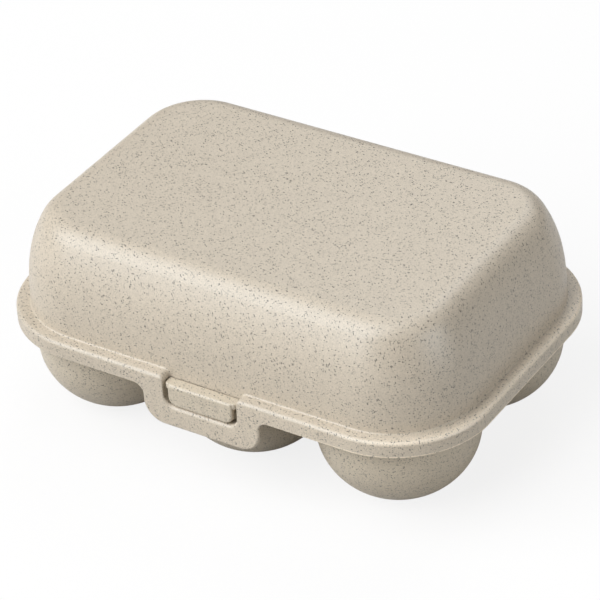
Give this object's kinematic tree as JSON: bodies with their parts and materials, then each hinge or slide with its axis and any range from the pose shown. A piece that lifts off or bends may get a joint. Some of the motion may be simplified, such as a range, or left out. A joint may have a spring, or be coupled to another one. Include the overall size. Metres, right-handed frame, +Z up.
{
  "type": "egg box",
  "caption": "Rectangular egg box with rounded corners: a domed lid on snap hooks at the back, a flush springy clasp loop at the front, and a tray of round egg cups.",
  "frame": {"origin": "middle of the box's footprint, on the surface that its cups stand on", "axes": "+X along the long side, to the right seen from the clasp; +Y from the clasp to the hinge; +Z up"},
  "size_m": [0.154, 0.1064, 0.0641],
  "materials": {
    "egg_tray": "satin, flecked with fibres",
    "lid_shell": "satin, flecked with fibres",
    "clasp_loop": "satin, flecked with fibres"
  },
  "bodies": {
    "tray": {"egg_tray": "egg_tray"},
    "lid": {"lid_shell": "lid_shell"},
    "clasp": {"clasp_loop": "clasp_loop"}
  },
  "joints": [
    {"name": "lid_hinge", "type": "hinge", "parent": "tray", "child": "lid", "pos_m": [0, 0.0498, 0.0238], "axis": [-1, 0, 0], "range_deg": [0, 120]},
    {"name": "clasp_flex", "type": "hinge", "parent": "lid", "child": "clasp", "pos_m": [0, -0.0532, 0.0276], "axis": [-1, 0, 0], "range_deg": [0, 25], "stiffness_Nm_per_rad": 0.3}
  ]
}
